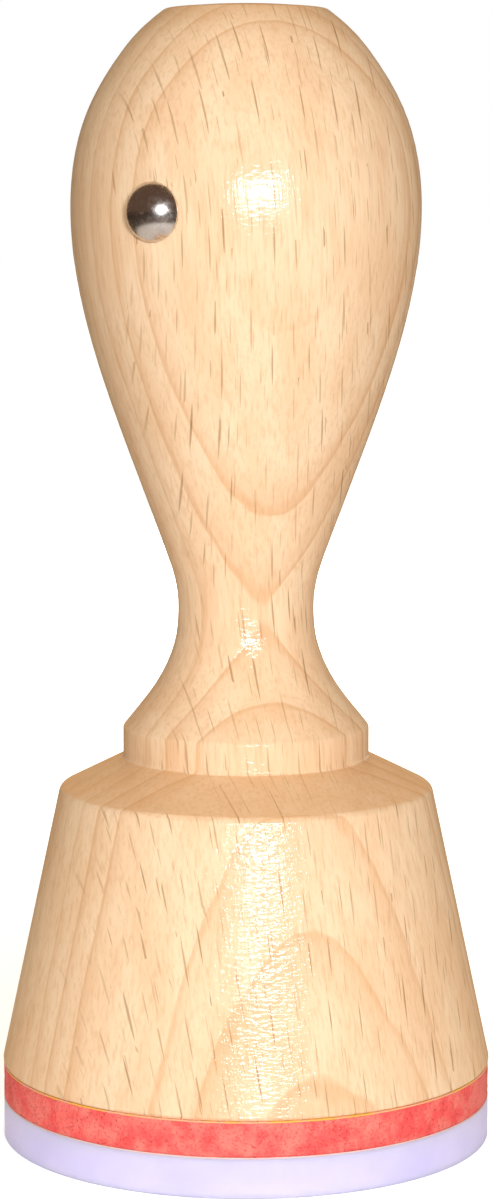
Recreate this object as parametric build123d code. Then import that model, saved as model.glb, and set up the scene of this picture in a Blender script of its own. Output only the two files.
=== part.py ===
from build123d import *
import os

# A round wooden hand stamp, in millimetres, +Z up.
# The origin is the centre of the print face, on the plane where the stamp meets the paper.
# The marker pin stands out towards -Y, the side that faces the user.

# Driving dimensions.
BASE_RADIUS = 20.0

# The layers under the wood, from the paper upwards.
RELIEF_DEPTH = 0.8
DIE_PLATE = 2.35
ADHESIVE = 0.12
FOAM = 2.7
DIE_TOP = RELIEF_DEPTH + DIE_PLATE
FOAM_BOTTOM = DIE_TOP + ADHESIVE
FOAM_TOP = FOAM_BOTTOM + FOAM
WOOD_BOTTOM = FOAM_TOP + ADHESIVE

# The block: a cone with a sloping top, a hair wider than the cushion under it.
BLOCK_BOTTOM_RADIUS = BASE_RADIUS + 0.1
BLOCK_BOTTOM_ROUND = 0.25
BLOCK_TOP_RADIUS = 15.25
BLOCK_TOP = 28.75
SHOULDER_ROUND = 0.6

# The collar, and the foot of the handle that flares down onto it.
COLLAR_RADIUS = 10.05
COLLAR_BOTTOM = 31.35
COLLAR_TOP = 33.75
COLLAR_TOP_ROUND = 0.5
COLLAR_INNER_ROUND = 0.3
FOOT_DIRECTION = (-0.6, 0.8)

# The waist, the bulb and its flat, slightly crowned top.
WAIST_RADIUS = 5.52
WAIST_HEIGHT = 43.6
BULB_RADIUS = 14.1
BULB_HEIGHT = 75.4
CROWN_RADIUS = 6.5
CROWN_EDGE = 91.5
CROWN_DIRECTION = (-0.8, 0.6)
CROWN_EDGE_ROUND = 0.8
TOP = 91.85

# The marker pin: a domed nail driven in level, where the bulb is widest.
PIN_HEIGHT = BULB_HEIGHT
PIN_HEAD_RADIUS = 2.33
PIN_DOME = 1.45
PIN_RIM = 0.22
PIN_SEAT = 0.1
PIN_SEAT_CLEARANCE = 0.03
PIN_SHANK_RADIUS = 0.7
PIN_SHANK = 7.0
PIN_POINT = 2.0
PIN_PRESS = 0.02

# The relief: a border ring flush with the die's edge, round a flower, its leaves and a ring of dots.
DRAFT = 15.0
BORDER_WIDTH = 1.5
PETALS = 8
PETAL_ROOT = 3.9
PETAL_TIP = 13.6
PETAL_HALF_WIDTH = 2.2
PETAL_LINE = 1.0
PETAL_LINE_AT_ENDS = 2.1
LEAF_ROOT = 9.3
LEAF_TIP = 14.4
LEAF_HALF_WIDTH = 0.65
EYE_RADIUS = 2.4
DOT_RADIUS = 0.65
DOT_CIRCLE = 16.0


def sphere_radius(rim, rise):
    """The radius of the sphere that a cap belongs to, from the cap's rim radius and its rise."""
    return (rim**2 + rise**2) / (2 * rise)


def corner(section, radius, height):
    """The vertex of a section nearest to a radius and a height."""
    return section.vertices().sort_by_distance((radius, height))[0]


def wood_section():
    """Half of the turned body's section, with X as the radius and Y as the height."""
    foot = [
        (COLLAR_RADIUS, COLLAR_TOP),
        (7.52, 37.0),
        (6.02, 40.0),
        (WAIST_RADIUS, WAIST_HEIGHT),
    ]
    bulb = [
        (WAIST_RADIUS, WAIST_HEIGHT),
        (6.5, 48.1),
        (9.05, 55.0),
        (12.15, 64.0),
        (BULB_RADIUS, BULB_HEIGHT),
        (12.45, 84.0),
        (10.0, 88.05),
        (CROWN_RADIUS, CROWN_EDGE),
    ]
    crown_sphere = sphere_radius(CROWN_RADIUS, TOP - CROWN_EDGE)
    with BuildSketch() as section:
        with BuildLine():
            Polyline(
                (0, TOP),
                (0, WOOD_BOTTOM),
                (BLOCK_BOTTOM_RADIUS, WOOD_BOTTOM),
                (BLOCK_TOP_RADIUS, BLOCK_TOP),
                (COLLAR_RADIUS, COLLAR_BOTTOM),
                (COLLAR_RADIUS, COLLAR_TOP),
            )
            Spline(*foot, tangents=[FOOT_DIRECTION, (0, 1)])
            Spline(*bulb, tangents=[(0, 1), CROWN_DIRECTION])
            RadiusArc((CROWN_RADIUS, CROWN_EDGE), (0, TOP), -crown_sphere)
        make_face()
        fillet(corner(section, BLOCK_BOTTOM_RADIUS, WOOD_BOTTOM), BLOCK_BOTTOM_ROUND)
        fillet(corner(section, BLOCK_TOP_RADIUS, BLOCK_TOP), SHOULDER_ROUND)
        fillet(corner(section, COLLAR_RADIUS, COLLAR_BOTTOM), COLLAR_INNER_ROUND)
        fillet(corner(section, COLLAR_RADIUS, COLLAR_TOP), COLLAR_TOP_ROUND)
        fillet(corner(section, CROWN_RADIUS, CROWN_EDGE), CROWN_EDGE_ROUND)
    return section.sketch


def turned(section):
    """A solid of revolution about Z, from a section drawn as radius and height."""
    return revolve(Plane.XZ * section, Axis.Z)


def on_pin_axis(section):
    """A solid of revolution about the pin's axis, from a section drawn as radius and height above the seat."""
    seat_centre = (0, PIN_SEAT - BULB_RADIUS, PIN_HEIGHT)
    seat = Plane(origin=seat_centre, x_dir=(1, 0, 0), z_dir=(0, 0, -1))
    return revolve(seat * section, Axis(seat_centre, (0, 1, 0)))


def head_section():
    """Half of the pin's domed head: a short upright rim, and part of a sphere on it."""
    with BuildSketch() as section:
        with BuildLine():
            Polyline((0, PIN_RIM + PIN_DOME), (0, 0), (PIN_HEAD_RADIUS, 0), (PIN_HEAD_RADIUS, PIN_RIM))
            RadiusArc(
                (PIN_HEAD_RADIUS, PIN_RIM),
                (0, PIN_RIM + PIN_DOME),
                -sphere_radius(PIN_HEAD_RADIUS, PIN_DOME),
            )
        make_face()
    return section.sketch


def shank_section(radius, length):
    """Half of the pin's shank and point, or of the hole they make, below the seat."""
    with BuildSketch() as section:
        with BuildLine():
            Polyline((0, 0), (radius, 0), (radius, -length), (0, -length - PIN_POINT), close=True)
        make_face()
    return section.sketch


def marker_pin():
    """The nail: its domed head outside the wood, its shank and point inside."""
    return on_pin_axis(head_section()) + on_pin_axis(shank_section(PIN_SHANK_RADIUS, PIN_SHANK))


def seat_section():
    """Half of the shallow round seat that the pin's head presses into the wood."""
    with BuildSketch() as section:
        Rectangle(PIN_HEAD_RADIUS + PIN_SEAT_CLEARANCE, PIN_DOME, align=(Align.MIN, Align.MIN))
    return section.sketch


def wood_body():
    """The body, turned in one piece, with the seat and the blind hole of the pin."""
    hole = shank_section(PIN_SHANK_RADIUS - PIN_PRESS, PIN_SHANK)
    return turned(wood_section()) - on_pin_axis(seat_section()) - on_pin_axis(hole)


def layer(bottom, thickness):
    """A disc of the stamp's full diameter."""
    upwards = (Align.CENTER, Align.CENTER, Align.MIN)
    return Pos(0, 0, bottom) * Cylinder(BASE_RADIUS, thickness, align=upwards)


def lens(root, tip, half_width):
    """A pointed oval along +X, between two arcs."""
    middle = (root + tip) / 2
    upper = ThreePointArc((root, 0), (middle, half_width), (tip, 0))
    lower = ThreePointArc((tip, 0), (middle, -half_width), (root, 0))
    return make_face(upper + lower)


def raised(outline):
    """A printing shape, which widens from the paper up to the die's floor."""
    return extrude(outline, RELIEF_DEPTH, taper=-DRAFT)


def flower():
    """The raised shapes inside the border: the eye, the outlined petals, the leaves and the dots."""
    petal = lens(PETAL_ROOT, PETAL_TIP, PETAL_HALF_WIDTH) - lens(
        PETAL_ROOT + PETAL_LINE_AT_ENDS,
        PETAL_TIP - PETAL_LINE_AT_ENDS,
        PETAL_HALF_WIDTH - PETAL_LINE,
    )
    step = 360 / PETALS
    shapes = [raised(Circle(EYE_RADIUS))]
    for index in range(PETALS):
        on_petal = Rot(0, 0, index * step)
        between_petals = Rot(0, 0, (index + 0.5) * step)
        shapes.append(on_petal * raised(petal))
        shapes.append(between_petals * raised(lens(LEAF_ROOT, LEAF_TIP, LEAF_HALF_WIDTH)))
        shapes.append(between_petals * Pos(DOT_CIRCLE, 0, 0) * raised(Circle(DOT_RADIUS)))
    return shapes


def stamp_die():
    """The printing plate: its border stands at the edge, and the flower in the sunk floor."""
    floor = extrude(Circle(BASE_RADIUS - BORDER_WIDTH), RELIEF_DEPTH, taper=DRAFT)
    return layer(0, DIE_TOP) - floor + flower()


def main():
    os.makedirs("parts", exist_ok=True)
    export_step(wood_body(), "parts/wood_body.step")
    export_step(marker_pin(), "parts/marker_pin.step")
    export_step(layer(FOAM_TOP, ADHESIVE), "parts/cushion_adhesive.step")
    export_step(layer(FOAM_BOTTOM, FOAM), "parts/foam_cushion.step")
    export_step(layer(DIE_TOP, ADHESIVE), "parts/die_adhesive.step")
    export_step(stamp_die(), "parts/stamp_die.step")


if __name__ == "__main__":
    main()
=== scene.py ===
import math
from collections import namedtuple

import bmesh
import bpy
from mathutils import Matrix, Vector, noise

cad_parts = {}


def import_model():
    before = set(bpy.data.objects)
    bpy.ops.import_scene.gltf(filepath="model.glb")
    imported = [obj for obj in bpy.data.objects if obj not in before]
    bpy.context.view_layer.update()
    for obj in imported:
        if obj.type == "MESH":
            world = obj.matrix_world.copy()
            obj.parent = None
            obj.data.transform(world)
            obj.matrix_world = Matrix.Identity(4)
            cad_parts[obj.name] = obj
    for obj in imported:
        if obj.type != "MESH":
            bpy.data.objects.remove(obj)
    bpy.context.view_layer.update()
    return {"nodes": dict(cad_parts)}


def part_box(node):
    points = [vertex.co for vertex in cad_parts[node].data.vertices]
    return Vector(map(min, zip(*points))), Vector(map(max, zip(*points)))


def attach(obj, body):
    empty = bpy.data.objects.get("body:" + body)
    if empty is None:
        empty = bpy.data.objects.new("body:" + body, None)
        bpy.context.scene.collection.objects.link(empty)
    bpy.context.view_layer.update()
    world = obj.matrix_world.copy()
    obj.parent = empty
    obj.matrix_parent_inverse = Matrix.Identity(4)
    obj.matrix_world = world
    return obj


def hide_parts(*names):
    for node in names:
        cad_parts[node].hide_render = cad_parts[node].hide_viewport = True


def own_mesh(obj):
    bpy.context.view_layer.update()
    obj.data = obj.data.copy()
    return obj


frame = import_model()

# The scene is in metres. Materials work in millimetres.
MM = 0.001
NODES = frame["nodes"]

# The camera stands to the right of the marker pin and a little below the top of the knob.
CAMERA_AZIMUTH = math.radians(30.7)
CAMERA_DISTANCE = 0.260
CAMERA_HEIGHT = 0.075
CAMERA_PITCH = math.radians(6.79)
CAMERA_LENS = 96.4
CAMERA_SENSOR = 36.0
CAMERA_NEAR = 0.01
CAMERA_FAR = 20.0

# Across the picture, towards the camera, and up.
RIGHT = Vector((math.cos(CAMERA_AZIMUTH), math.sin(CAMERA_AZIMUTH), 0))
TOWARDS = Vector((math.sin(CAMERA_AZIMUTH), -math.cos(CAMERA_AZIMUTH), 0))
UP = Vector((0, 0, 1))


def from_camera(right, towards, up):
    """A point in the frame, from how far it is to the right, towards the camera, and up."""
    return RIGHT * right + TOWARDS * towards + UP * up


def colour(red, green, blue):
    """A linear colour from the usual 0 to 255 screen values."""
    def linear(value):
        value /= 255
        return value / 12.92 if value <= 0.04045 else ((value + 0.055) / 1.055) ** 2.4
    return (linear(red), linear(green), linear(blue), 1.0)


# ---------------------------------------------------------------- node graphs


class Graph:
    """A material's node tree, with one short call for each kind of node."""

    def __init__(self, name):
        self.material = bpy.data.materials.new(name)
        self.material.use_nodes = True
        self.nodes = self.material.node_tree.nodes
        self.links = self.material.node_tree.links
        self.nodes.clear()
        self.output = self.nodes.new("ShaderNodeOutputMaterial")

    def plug(self, value, socket):
        """Links a socket to another, or sets it to a constant. None leaves it alone."""
        if isinstance(value, bpy.types.NodeSocket):
            self.links.new(value, socket)
        elif value is not None:
            socket.default_value = value

    def node(self, kind, **inputs):
        """A node, with its inputs by name, spaces written as underscores."""
        made = self.nodes.new(kind)
        for name, value in inputs.items():
            self.plug(value, made.inputs[name.replace("_", " ")])
        return made

    def math(self, operation, *values):
        """Arithmetic on numbers."""
        made = self.nodes.new("ShaderNodeMath")
        made.operation = operation
        for index, value in enumerate(values):
            self.plug(value, made.inputs[index])
        return made.outputs[0]

    def vector(self, x, y, z):
        """A vector from three numbers."""
        return self.node("ShaderNodeCombineXYZ", X=x, Y=y, Z=z).outputs[0]

    def split(self, vector):
        """The X, Y and Z of a vector."""
        return self.node("ShaderNodeSeparateXYZ", Vector=vector).outputs

    def millimetres(self):
        """The place in the frame, as a vector in millimetres."""
        place = self.node("ShaderNodeTexCoord").outputs["Object"]
        scaled = self.nodes.new("ShaderNodeVectorMath")
        scaled.operation = "SCALE"
        self.plug(place, scaled.inputs[0])
        self.plug(1 / MM, scaled.inputs["Scale"])
        return scaled.outputs[0]

    def normal(self):
        """The direction that the surface faces."""
        return self.node("ShaderNodeTexCoord").outputs["Normal"]

    def noise(self, vector, detail=2.0, roughness=0.5, scale=1.0):
        """Soft noise, from 0 to 1."""
        made = self.node(
            "ShaderNodeTexNoise", Vector=vector, Scale=scale, Detail=detail, Roughness=roughness
        )
        return made.outputs["Fac"]

    def ramp(self, value, low, high, to_low=0.0, to_high=1.0, smooth=True):
        """Maps low..high to to_low..to_high, held at both ends."""
        made = self.node("ShaderNodeMapRange")
        made.clamp = True
        if smooth:
            made.interpolation_type = "SMOOTHSTEP"
        self.plug(value, made.inputs["Value"])
        self.plug(low, made.inputs["From Min"])
        self.plug(high, made.inputs["From Max"])
        self.plug(to_low, made.inputs["To Min"])
        self.plug(to_high, made.inputs["To Max"])
        return made.outputs["Result"]

    def mix(self, factor, first, second):
        """Mixes two colours."""
        made = self.nodes.new("ShaderNodeMix")
        made.data_type = "RGBA"
        colour_inputs = [socket for socket in made.inputs if socket.type == "RGBA"]
        colour_outputs = [socket for socket in made.outputs if socket.type == "RGBA"]
        self.plug(factor, made.inputs["Factor"])
        self.plug(first, colour_inputs[0])
        self.plug(second, colour_inputs[1])
        return colour_outputs[0]

    def bump(self, height, strength, distance, normal=None):
        """A normal bent by a height, on top of another normal if one is given."""
        made = self.node("ShaderNodeBump", Height=height, Strength=strength, Distance=distance)
        self.plug(normal, made.inputs["Normal"])
        return made.outputs["Normal"]

    def surface(self, **inputs):
        """Finishes the material with a principled shader."""
        shader = self.node("ShaderNodeBsdfPrincipled", **inputs)
        self.links.new(shader.outputs["BSDF"], self.output.inputs["Surface"])
        return self.material


# ---------------------------------------------------------------- beech

# The tree's pith lies in front of the stamp and to its right, so the camera sees the growth rings
# almost face on, and the rays end on. The fibres lean a little. All in millimetres.
PITH_RIGHT = 26.5
PITH_TOWARDS = 100.0
FIBRE_LEAN = 0.07
PITH_TILT = -0.026
LEAN_PIVOT = 50.0
SWAY = 0.5
SWAY_PER_MM = 0.035

# Growth rings, in millimetres. Rings are numbered away from the pith, and rings 1 and 2 cross the
# front of the knob.
RING_WIDTH = 2.38
RING_OFFSET = 17.3
RING_WAVER = 0.5
FRONT_RING_STRENGTH = 0.12
NEAR_RING_STRENGTH = 0.60
FAR_RING_STRENGTH = 0.75
BACK_RING_SHARE = 0.40

# Rays, in millimetres: the cell that holds one (round the pith, along the fibres, away from the pith),
# its half width and half length, a shift that sets its pattern apart, its strength and its colour.
Ray = namedtuple("Ray", "cell spindle shift strength tone")
DASHES = Ray((0.7, 1.8, 6.0), (0.05, 0.6), 41.3, 0.30, colour(182, 136, 92))
SHORT_RAYS = Ray((1.5, 4.0, 10.0), (0.085, 1.5), 17.7, 0.48, colour(156, 112, 62))
LONG_RAYS = Ray((2.2, 5.0, 14.0), (0.12, 2.4), 3.1, 0.66, colour(142, 98, 50))

PALE_BEECH = colour(243, 211, 172)
WARM_BEECH = colour(238, 199, 157)
END_GRAIN = colour(214, 160, 104)
LATEWOOD = colour(208, 146, 92)
FIBRE_LINES = colour(206, 154, 104)
END_GRAIN_STRENGTH = 0.45
LATEWOOD_STRENGTH = 0.60
FIBRE_STRENGTH = 0.38

# The lacquer's bumps, and the heights between which the turning marks are sanded out, in millimetres.
FIBRE_BUMP = 0.036
TURNING_BUMP = 0.075
SANDED_FROM = 48.0
SANDED_TO = 56.0


def beech_space(g):
    """Coordinates in the tree: distance from the pith, distance round it, and along the fibres."""
    x, y, z = g.split(g.millimetres())
    right = g.math("ADD", g.math("MULTIPLY", x, RIGHT.x), g.math("MULTIPLY", y, RIGHT.y))
    towards = g.math("ADD", g.math("MULTIPLY", x, TOWARDS.x), g.math("MULTIPLY", y, TOWARDS.y))
    height = g.math("SUBTRACT", z, LEAN_PIVOT)
    sway = g.noise(g.vector(0.0, 0.0, g.math("MULTIPLY", z, SWAY_PER_MM)), detail=1.0)
    right = g.math("MULTIPLY_ADD", height, FIBRE_LEAN, right)
    right = g.math("ADD", right, g.ramp(sway, 0.0, 1.0, -SWAY, SWAY, smooth=False))
    towards = g.math("MULTIPLY_ADD", height, PITH_TILT, towards)
    across = g.math("SUBTRACT", right, PITH_RIGHT)
    ahead = g.math("SUBTRACT", PITH_TOWARDS, towards)
    squares = g.math("ADD", g.math("POWER", across, 2.0), g.math("POWER", ahead, 2.0))
    radial = g.math("SUBTRACT", g.math("SQRT", squares), math.hypot(PITH_RIGHT, PITH_TOWARDS))
    around = g.math("MULTIPLY", g.math("ARCTAN2", across, ahead), PITH_TOWARDS)
    return radial, around, z


def end_on(g):
    """How far a face cuts across the rays: 1 where it does, 0 where it runs along them."""
    outwards = (RIGHT * -PITH_RIGHT + TOWARDS * -PITH_TOWARDS).normalized()
    facing = g.nodes.new("ShaderNodeVectorMath")
    facing.operation = "DOT_PRODUCT"
    g.plug(g.normal(), facing.inputs[0])
    g.plug(outwards, facing.inputs[1])
    return g.ramp(g.math("ABSOLUTE", facing.outputs["Value"]), 0.25, 0.60)


def end_grain(g):
    """How far a face cuts across the fibres, where lacquer soaks in, and leaves dark, dull wood."""
    return g.ramp(g.math("ABSOLUTE", g.split(g.normal())["Z"]), 0.55, 0.95)


def flecks(g, space, ray):
    """Rays seen end on: dark spindles of varied size and depth, one in each cell."""
    radial, around, along = space
    cell_width, cell_length, cell_depth = ray.cell
    half_width, half_length = ray.spindle
    place = g.vector(
        g.math("DIVIDE", g.math("ADD", around, ray.shift), cell_width),
        g.math("DIVIDE", along, cell_length),
        g.math("DIVIDE", radial, cell_depth),
    )
    spots = g.node("ShaderNodeTexVoronoi", Vector=place, Scale=1.0, Randomness=0.9)
    chance = g.node("ShaderNodeSeparateColor", Color=spots.outputs["Color"]).outputs
    here = g.split(place)
    centre = g.split(spots.outputs["Position"])
    size = g.ramp(chance["Red"], 0.0, 1.0, 0.55, 1.0, smooth=False)
    aside = g.math("ABSOLUTE", g.math("SUBTRACT", here["X"], centre["X"]))
    aside = g.math("DIVIDE", g.math("MULTIPLY", aside, cell_width / half_width), size)
    above = g.math("SUBTRACT", here["Y"], centre["Y"])
    above = g.math("DIVIDE", g.math("MULTIPLY", above, cell_length / half_length), size)
    inside = g.math("SUBTRACT", g.math("SUBTRACT", 1.0, aside), g.math("POWER", above, 2.0))
    depth = g.ramp(chance["Green"], 0.0, 1.0, 0.35, 1.0, smooth=False)
    return g.math("MULTIPLY", g.math("MULTIPLY", g.ramp(inside, 0.0, 0.6), depth), end_on(g))


def ring_strength(g, number):
    """How dark a growth ring is, by its number: faint across the front of the knob."""
    near = g.ramp(number, 0.8, 0.0, FRONT_RING_STRENGTH, NEAR_RING_STRENGTH)
    far = g.ramp(number, 2.2, 3.0, FRONT_RING_STRENGTH, FAR_RING_STRENGTH)
    far = g.math("MULTIPLY", far, g.ramp(number, 4.2, 6.0, 1.0, BACK_RING_SHARE))
    return g.math("MAXIMUM", near, far)


def latewood(g, space):
    """The dark edge of each growth ring: it builds up slowly, and ends sharply."""
    radial, around, along = space
    place = g.vector(g.math("MULTIPLY", around, 0.12), g.math("MULTIPLY", along, 0.05), radial)
    waver = g.noise(place, detail=2.0)
    waver = g.ramp(waver, 0.0, 1.0, -RING_WAVER, RING_WAVER, smooth=False)
    rings = g.math("DIVIDE", g.math("ADD", g.math("ADD", radial, waver), RING_OFFSET), RING_WIDTH)
    phase = g.math("FRACT", rings)
    slow = g.ramp(phase, 0.35, 0.90, 0.0, 0.45)
    fast = g.ramp(phase, 0.84, 0.95, 0.0, 0.55)
    band = g.math("MULTIPLY", g.math("ADD", slow, fast), g.ramp(phase, 1.0, 0.96))
    return g.math("MULTIPLY", band, ring_strength(g, g.math("FLOOR", rings)))


def grain_noise(g, space, across, along, detail, roughness=0.5):
    """Noise drawn out along the fibres, by its changes per millimetre across and along them."""
    radial, around, height = space
    place = g.vector(
        g.math("MULTIPLY", around, across),
        g.math("MULTIPLY", height, along),
        g.math("MULTIPLY", radial, across),
    )
    return g.noise(place, detail, roughness)


def turning_marks(g, late):
    """Fine marks that the chisel left, weaker in the hard latewood, and mostly sanded off the knob."""
    x, y, z = g.split(g.millimetres())
    place = g.vector(g.math("MULTIPLY", x, 1.4), g.math("MULTIPLY", y, 1.4), g.math("MULTIPLY", z, 3.6))
    soft_wood = g.math("SUBTRACT", 1.0, g.math("MULTIPLY", late, 0.8))
    unsanded = g.ramp(z, SANDED_FROM, SANDED_TO, 1.0, 0.35)
    return g.math("MULTIPLY", g.noise(place, detail=1.0), g.math("MULTIPLY", soft_wood, unsanded))


def beech():
    """Beech with growth rings, rays and turning marks. All of its gloss is in the lacquer over it."""
    g = Graph("beech")
    space = beech_space(g)
    late = latewood(g, space)
    fibres = grain_noise(g, space, 3.2, 0.22, detail=4.0, roughness=0.65)
    clouds = grain_noise(g, space, 0.30, 0.10, detail=3.0)
    thirsty = end_grain(g)

    wood = g.mix(g.ramp(clouds, 0.3, 0.7), PALE_BEECH, WARM_BEECH)
    wood = g.mix(g.math("MULTIPLY", thirsty, END_GRAIN_STRENGTH), wood, END_GRAIN)
    wood = g.mix(g.math("MULTIPLY", late, LATEWOOD_STRENGTH), wood, LATEWOOD)
    wood = g.mix(g.ramp(fibres, 0.42, 0.75, 0.0, FIBRE_STRENGTH), wood, FIBRE_LINES)
    spindles = {ray: flecks(g, space, ray) for ray in (DASHES, SHORT_RAYS, LONG_RAYS)}
    for ray, dark in spindles.items():
        wood = g.mix(g.math("MULTIPLY", dark, ray.strength), wood, ray.tone)

    under = g.bump(g.math("MULTIPLY", spindles[LONG_RAYS], -1.0), 0.5, 0.04 * MM)
    under = g.bump(fibres, 0.4, 0.03 * MM, under)
    skin = g.bump(fibres, 1.0, FIBRE_BUMP * MM)
    skin = g.bump(turning_marks(g, late), 1.0, TURNING_BUMP * MM, skin)

    # The lacquer is clearest face on, and fades out at grazing angles and on end grain.
    sideways = g.node("ShaderNodeLayerWeight", Blend=0.5).outputs["Facing"]
    gloss = g.math("MULTIPLY", g.ramp(sideways, 0.30, 0.65, 0.6, 0.0), g.math("SUBTRACT", 1.0, thirsty))
    roughness = g.math("MAXIMUM", g.ramp(fibres, 0.3, 0.7, 0.48, 0.60), g.math("MULTIPLY", thirsty, 0.9))
    return g.surface(
        Base_Color=wood,
        Roughness=roughness,
        Normal=under,
        Specular_IOR_Level=0.0,
        Coat_Weight=gloss,
        Coat_Roughness=0.14,
        Coat_IOR=1.5,
        Coat_Normal=skin,
    )


# ---------------------------------------------------------------- nickel, films, foam and die

DULL_NICKEL = (0.66, 0.60, 0.55, 1)
BRIGHT_NICKEL = (0.74, 0.69, 0.64, 1)
CUSHION_FILM_THIN = colour(240, 170, 130)
CUSHION_FILM_THICK = colour(238, 178, 70)
DIE_FILM_THIN = colour(226, 186, 176)
DIE_FILM_THICK = colour(220, 196, 190)
CORAL_RED = colour(247, 84, 80)
PALE_CORAL = colour(250, 126, 112)
# Painted shade for the pits of the foam's small and big cells.
SMALL_PIT_SHADE_RED = colour(206, 48, 46)
BIG_PIT_SHADE_RED = colour(198, 42, 42)
LILAC = colour(198, 193, 226)
PALE_LILAC = colour(206, 200, 230)
# Painted glow: the die gives off light though it is no lamp, which lightens its shaded side.
LILAC_PAINTED_GLOW = colour(208, 206, 240)
LILAC_PAINTED_GLOW_STRENGTH = 0.16


def nickel():
    """Polished nickel plate, a little brushed by handling."""
    g = Graph("nickel_plate")
    place = g.millimetres()
    scuffs = g.noise(place, detail=4.0, roughness=0.7, scale=2.2)
    dents = g.noise(place, detail=1.0, scale=0.6)
    return g.surface(
        Base_Color=g.mix(g.ramp(scuffs, 0.35, 0.7), DULL_NICKEL, BRIGHT_NICKEL),
        Metallic=1.0,
        Roughness=g.ramp(scuffs, 0.3, 0.75, 0.19, 0.31),
        Normal=g.bump(dents, 0.25, 0.02 * MM),
    )


def film(name, thin, thick):
    """An adhesive film's edge: a clear line that gathers in places."""
    g = Graph(name)
    beads = g.noise(g.millimetres(), detail=3.0, scale=0.45)
    return g.surface(
        Base_Color=g.mix(g.ramp(beads, 0.4, 0.6), thin, thick),
        Roughness=g.ramp(beads, 0.3, 0.7, 0.25, 0.5),
        Normal=g.bump(beads, 0.4, 0.05 * MM),
    )


def red_foam():
    """Foam rubber, cut through: small and big open cells on a mottled coral red, with painted shade in the
    cells' pits.
    """
    g = Graph("red_foam")
    place = g.millimetres()
    small_cells = g.node("ShaderNodeTexVoronoi", Vector=place, Scale=4.5).outputs["Distance"]
    big_cells = g.node("ShaderNodeTexVoronoi", Vector=place, Scale=1.9).outputs["Distance"]
    mottle = g.noise(place, detail=4.0, roughness=0.6, scale=0.55)
    small_walls = g.ramp(small_cells, 0.05, 0.45)
    big_walls = g.ramp(big_cells, 0.02, 0.30)
    red = g.mix(g.ramp(mottle, 0.36, 0.64), CORAL_RED, PALE_CORAL)
    # Painted shade: the red darkens towards the middle of each cell, where the bump sinks its pit.
    red = g.mix(g.ramp(small_walls, 0.0, 1.0, 0.30, 0.0), red, SMALL_PIT_SHADE_RED)
    red = g.mix(g.ramp(big_walls, 0.0, 1.0, 0.35, 0.0), red, BIG_PIT_SHADE_RED)
    return g.surface(
        Base_Color=red,
        Roughness=g.ramp(mottle, 0.3, 0.7, 0.62, 0.85),
        Subsurface_Weight=0.15,
        Subsurface_Radius=(0.8 * MM, 0.3 * MM, 0.25 * MM),
        Subsurface_Scale=1.0,
        Normal=g.bump(g.math("ADD", small_walls, big_walls), 0.7, 0.12 * MM),
    )


def die_rubber():
    """Pale lilac die rubber: faintly cloudy, with a fine matt tooth, and light scattered inside. Its glow
    is painted light that lifts its shaded side.
    """
    g = Graph("die_rubber")
    place = g.millimetres()
    cloud = g.noise(place, detail=3.0, scale=0.18)
    tooth = g.noise(place, detail=3.0, roughness=0.6, scale=5.0)
    return g.surface(
        Base_Color=g.mix(g.ramp(cloud, 0.35, 0.65), LILAC, PALE_LILAC),
        Roughness=g.ramp(tooth, 0.3, 0.7, 0.38, 0.55),
        Subsurface_Weight=0.8,
        Subsurface_Radius=(2.4 * MM, 2.2 * MM, 2.8 * MM),
        Subsurface_Scale=1.0,
        # Painted glow that lightens the die's shaded side.
        Emission_Color=LILAC_PAINTED_GLOW,
        Emission_Strength=LILAC_PAINTED_GLOW_STRENGTH,
        Normal=g.bump(tooth, 0.2, 0.02 * MM),
    )


# ---------------------------------------------------------------- pieces

# The foam's mesh: points round it, rows up its cut edge, and rings across each face.
FOAM_AROUND = 900
FOAM_ROWS = 18
FOAM_RINGS = 6
PIT_DEPTH = 0.05 * MM


def dress(node, material):
    """Gives a carried-over CAD node its finished material."""
    piece = NODES[node]
    piece.data.materials.clear()
    piece.data.materials.append(material)


def foam_loop(mesh, radius, height, pitted=False):
    """One loop of points round the foam, drawn inwards where open cells pit its cut edge."""
    loop = []
    for index in range(FOAM_AROUND):
        angle = 2 * math.pi * index / FOAM_AROUND
        place = Vector((radius * math.cos(angle), radius * math.sin(angle), height))
        if pitted:
            cells = noise.noise(place / MM * 2.1) + 0.6 * noise.noise(place / MM * 5.3)
            place.xy *= 1 - PIT_DEPTH * max(0.0, 0.5 + cells) / radius
        loop.append(mesh.verts.new(place))
    return loop


def foam_disc(radius, bottom, top):
    """A closed disc: rings across its underside, rows up its pitted edge, and rings across its top."""
    mesh = bmesh.new()
    rings = [radius * ring / FOAM_RINGS for ring in range(1, FOAM_RINGS)]
    rows = [bottom + (top - bottom) * row / FOAM_ROWS for row in range(FOAM_ROWS + 1)]
    loops = [foam_loop(mesh, ring, bottom) for ring in rings]
    loops += [foam_loop(mesh, radius, row, pitted=True) for row in rows]
    loops += [foam_loop(mesh, ring, top) for ring in reversed(rings)]
    for below, above in zip(loops, loops[1:]):
        for index in range(FOAM_AROUND):
            after = (index + 1) % FOAM_AROUND
            mesh.faces.new((below[index], below[after], above[after], above[index]))
    mesh.faces.new(reversed(loops[0]))
    mesh.faces.new(loops[-1])
    bmesh.ops.recalc_face_normals(mesh, faces=mesh.faces)
    data = bpy.data.meshes.new("foam_sponge")
    mesh.to_mesh(data)
    mesh.free()
    data.shade_smooth()
    return data


def add_to_scene(name, data):
    """A new object in the scene, from its mesh, lamp or camera."""
    piece = bpy.data.objects.new(name, data)
    bpy.context.scene.collection.objects.link(piece)
    return piece


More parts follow.
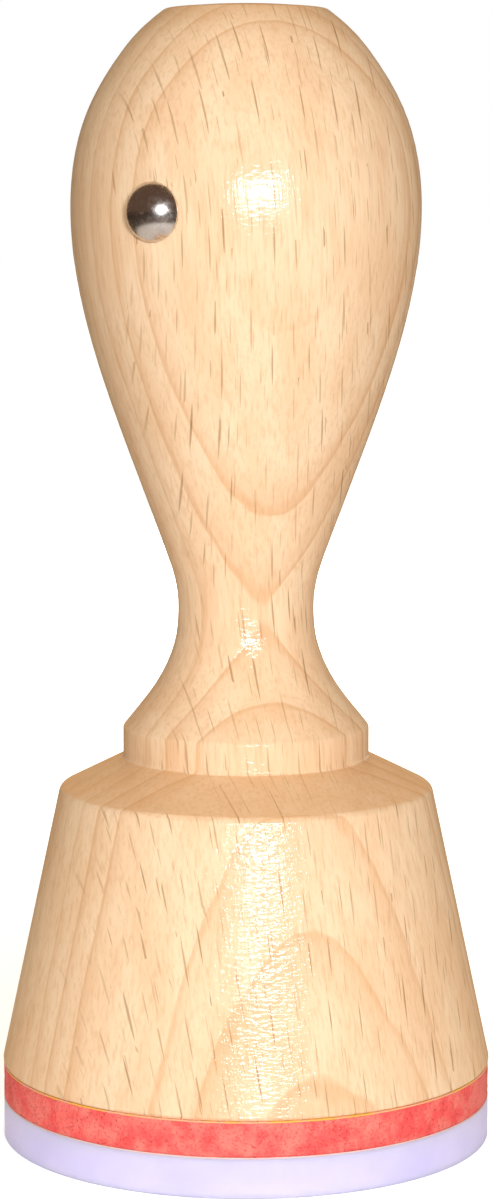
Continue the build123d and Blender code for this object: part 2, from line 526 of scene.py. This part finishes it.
def foam_cushion():
    """The cushion's visible piece, cut from foam sheet, on its own mesh. The real foam shortens as the die
    is pressed in.
    """
    low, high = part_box("foam_cushion")
    data = foam_disc((high.x - low.x) / 2, low.z, high.z)
    data.materials.append(red_foam())
    piece = add_to_scene("foam_sponge", data)
    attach(piece, "handle")
    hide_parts("foam_cushion")
    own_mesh(piece)


# ---------------------------------------------------------------- stage, lights and camera

FLOOR_HALF = 4.0
FLOOR_SEEN = (0.86, 0.86, 0.86, 1)
FLOOR_NEAR = (0.80, 0.78, 0.77, 1)
FLOOR_FAR = (0.10, 0.075, 0.06, 1)

# Distances on the floor from the stamp's axis, in millimetres: the disc that passes light, where the
# pale part ends for light that bounces, and where the glow that the camera sees starts and is full.
FLOOR_OPENING = 19.5
FLOOR_PALE_TO = (95.0, 125.0)
FLOOR_GLOW = (25.0, 300.0)

# What a ray finds beyond the stage: a fill on matt surfaces, a room in reflections, white in the picture.
FILL = ((1.0, 0.81, 0.55, 1), 0.27)
ROOM = ((1.0, 0.60, 0.40, 1), 0.13)
BACKDROP = ((1, 1, 1, 1), 1.0)

# Lamps: place (right, towards the camera, up) and size in metres, power in watts, tint, and whether
# the lamp shows in reflections.
Lamp = namedtuple("Lamp", "name place size power tint gleams")
COOL = (0.95, 0.98, 1.05)
WARM = (1.0, 0.94, 0.84)
LAMPS = (
    Lamp("key", (0.041, 0.262, 0.103), (0.070, 0.040), 0.72, COOL, True),
    Lamp("left", (-0.42, 0.30, 0.16), (0.30, 0.30), 0.50, COOL, False),
    Lamp("behind", (0.0, -0.50, 0.22), (0.16, 0.16), 2.1, WARM, False),
    Lamp("top", (0.0, -0.10, 0.60), (0.10, 0.10), 0.18, WARM, False),
    Lamp("below", (0.0, 0.0, -0.25), (0.20, 0.20), 0.45, COOL, True),
)
LAMP_TARGET = Vector((0, 0, 0.05))


def floor_material():
    """Pale, and bright round the stamp. It is clear from below, and lets light in under the stamp."""
    g = Graph("floor")
    x, y, z = g.split(g.millimetres())
    distance = g.math("SQRT", g.math("ADD", g.math("POWER", x, 2.0), g.math("POWER", y, 2.0)))
    seen = g.node("ShaderNodeLightPath").outputs["Is Camera Ray"]
    bounced = g.mix(g.ramp(distance, *FLOOR_PALE_TO), FLOOR_NEAR, FLOOR_FAR)
    shader = g.node(
        "ShaderNodeBsdfPrincipled",
        Base_Color=g.mix(seen, bounced, FLOOR_SEEN),
        Roughness=0.9,
        Specular_IOR_Level=0.0,
        Emission_Color=(1, 1, 1, 1),
        Emission_Strength=g.math("MULTIPLY", g.ramp(distance, *FLOOR_GLOW, 0.45, 1.0), seen),
    )
    clear = g.node("ShaderNodeBsdfTransparent")
    from_below = g.node("ShaderNodeNewGeometry").outputs["Backfacing"]
    under_stamp = g.math("LESS_THAN", distance, FLOOR_OPENING)
    opening = g.math("MULTIPLY", under_stamp, g.math("SUBTRACT", 1.0, seen))
    both = g.node("ShaderNodeMixShader", Fac=g.math("MAXIMUM", from_below, opening))
    g.links.new(shader.outputs[0], both.inputs[1])
    g.links.new(clear.outputs[0], both.inputs[2])
    g.links.new(both.outputs[0], g.output.inputs["Surface"])
    return g.material


def floor():
    """A plain flat floor under the stamp."""
    signs = ((-1, -1), (1, -1), (1, 1), (-1, 1))
    corners = [(FLOOR_HALF * x, FLOOR_HALF * y, 0) for x, y in signs]
    data = bpy.data.meshes.new("floor")
    data.from_pydata(corners, [], [range(len(corners))])
    data.materials.append(floor_material())
    add_to_scene("floor", data)


def world():
    """White to the camera, a dark warm room in reflections, and a soft warm fill on matt surfaces."""
    made = bpy.data.worlds.new("room")
    bpy.context.scene.world = made
    made.use_nodes = True
    tree = made.node_tree
    tree.nodes.clear()
    output = tree.nodes.new("ShaderNodeOutputWorld")
    ray = tree.nodes.new("ShaderNodeLightPath")

    def background(tint, strength):
        light = tree.nodes.new("ShaderNodeBackground")
        light.inputs["Color"].default_value = tint
        light.inputs["Strength"].default_value = strength
        return light.outputs[0]

    def choose(kind, otherwise, when):
        both = tree.nodes.new("ShaderNodeMixShader")
        tree.links.new(ray.outputs[kind], both.inputs[0])
        tree.links.new(otherwise, both.inputs[1])
        tree.links.new(when, both.inputs[2])
        return both.outputs[0]

    unseen = choose("Is Glossy Ray", background(*FILL), background(*ROOM))
    shown = choose("Is Camera Ray", unseen, background(*BACKDROP))
    tree.links.new(shown, output.inputs["Surface"])


def lights():
    """Soft rectangular lamps that point at the middle of the stamp, unseen by the camera."""
    for lamp in LAMPS:
        data = bpy.data.lights.new(lamp.name, "AREA")
        data.shape = "RECTANGLE"
        data.size, data.size_y = lamp.size
        data.energy = lamp.power
        data.color = lamp.tint
        piece = add_to_scene(lamp.name, data)
        piece.location = from_camera(*lamp.place)
        piece.rotation_euler = (LAMP_TARGET - piece.location).to_track_quat("-Z", "Y").to_euler()
        piece.visible_camera = False
        piece.visible_glossy = lamp.gleams


def camera():
    """The picture's camera."""
    data = bpy.data.cameras.new("camera")
    data.sensor_width = CAMERA_SENSOR
    data.lens = CAMERA_LENS
    data.clip_start = CAMERA_NEAR
    data.clip_end = CAMERA_FAR
    piece = add_to_scene("camera", data)
    piece.location = from_camera(0, CAMERA_DISTANCE, CAMERA_HEIGHT)
    look = -TOWARDS * math.cos(CAMERA_PITCH) - UP * math.sin(CAMERA_PITCH)
    piece.rotation_euler = look.to_track_quat("-Z", "Y").to_euler()
    bpy.context.scene.camera = piece


camera()
world()
lights()
floor()
bpy.context.scene.view_settings.view_transform = "Standard"

dress("wood_body", beech())
dress("marker_pin", nickel())
dress("cushion_adhesive", film("cushion_film", CUSHION_FILM_THIN, CUSHION_FILM_THICK))
dress("die_adhesive", film("die_film", DIE_FILM_THIN, DIE_FILM_THICK))
dress("stamp_die", die_rubber())
foam_cushion()
